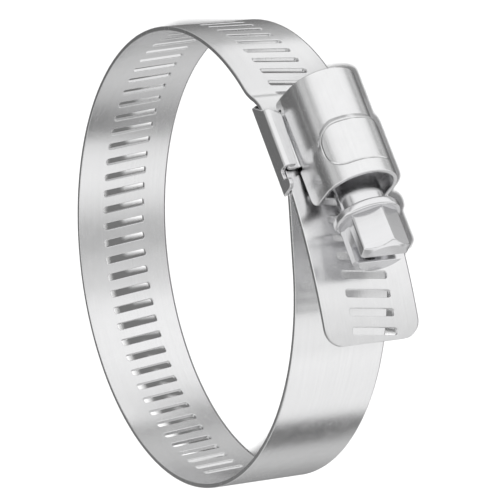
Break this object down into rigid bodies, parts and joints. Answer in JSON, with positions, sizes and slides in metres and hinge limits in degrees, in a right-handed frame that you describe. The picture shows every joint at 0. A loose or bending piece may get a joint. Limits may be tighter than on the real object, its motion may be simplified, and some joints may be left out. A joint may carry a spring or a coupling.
{
  "type": "hose clamp",
  "caption": "Worm-drive hose clamp: a slotted steel strip bent into a loop, with a saddle, a domed housing and a slotted hexagon screw.",
  "frame": {"origin": "centre of the bore that grips the hose, in the middle of the strip's width", "axes": "+Z along the hose; +X from the bore towards the housing; the screw lies along Y, and its head and the free tail point towards -Y"},
  "size_m": [0.0677, 0.058, 0.0138],
  "materials": {
    "band_steel": "cold-rolled, fine lines along the strip",
    "saddle_steel": "pressed sheet, satin",
    "housing_steel": "pressed sheet, smooth and bright",
    "screw_steel": "cold-headed and plated, bright"
  },
  "bodies": {
    "clamp": {"band": "band_steel", "saddle": "saddle_steel", "housing": "housing_steel"},
    "tail": {"band_tail": "band_steel"},
    "screw": {"screw": "screw_steel"}
  },
  "joints": [
    {"name": "screw_turn", "type": "hinge", "parent": "clamp", "child": "screw", "pos_m": [0.0334, -0.0085, 0], "axis": [0, 1, 0], "range_deg": [0, 1080]},
    {"name": "band_feed", "type": "hinge", "parent": "clamp", "child": "tail", "pos_m": [-0.0399, -0.001, 0], "axis": [0, 0, -1], "range_deg": [0, 5.59]}
  ],
  "couplings": [
    {"joint": "band_feed", "follows": "screw_turn", "ratio": 0.0051612}
  ]
}
